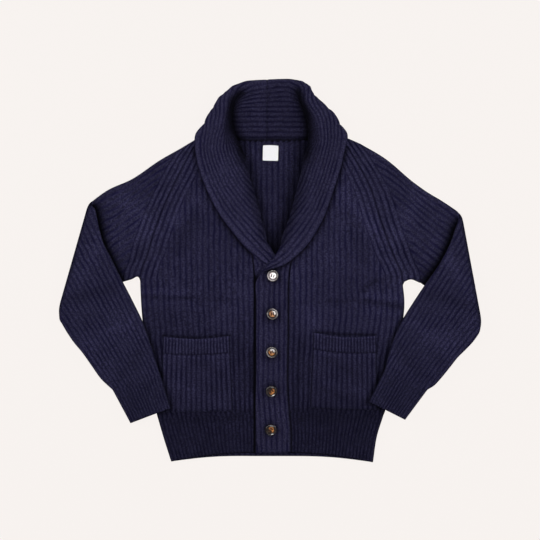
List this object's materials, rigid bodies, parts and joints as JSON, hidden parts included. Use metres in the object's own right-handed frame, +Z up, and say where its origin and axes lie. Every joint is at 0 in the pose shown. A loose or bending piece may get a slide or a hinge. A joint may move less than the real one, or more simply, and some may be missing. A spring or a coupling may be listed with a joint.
{
  "type": "shawl collar cardigan",
  "caption": "Chunky rib-knit shawl collar cardigan with raglan sleeves and patch pockets, laid flat, buttoned, sleeves folded at the elbow.",
  "frame": {"origin": "bottom centre of the bounding box, on the surface that the cardigan lies on", "axes": "+Z up from the surface, out of the front; +Y towards the collar; +X towards the wearer's left sleeve"},
  "size_m": [0.8672, 0.7848, 0.0284],
  "materials": {
    "body knit": "matte navy rib knit",
    "collar knit": "matte navy rib knit",
    "sleeve knit": "matte navy rib knit",
    "pocket knit": "matte navy rib knit",
    "horn": "polished brown horn",
    "label cloth": "white woven label"
  },
  "bodies": {
    "root": {"back": "body knit", "front_right": "body knit", "front_left": "body knit", "sleeve_right": "sleeve knit", "sleeve_left": "sleeve knit", "collar_right": "collar knit", "collar_left": "collar knit", "pocket_right": "pocket knit", "pocket_left": "pocket knit", "button_1": "horn", "button_2": "horn", "button_3": "horn", "button_4": "horn", "button_5": "horn", "neck_label": "label cloth"}
  },
  "joints": []
}
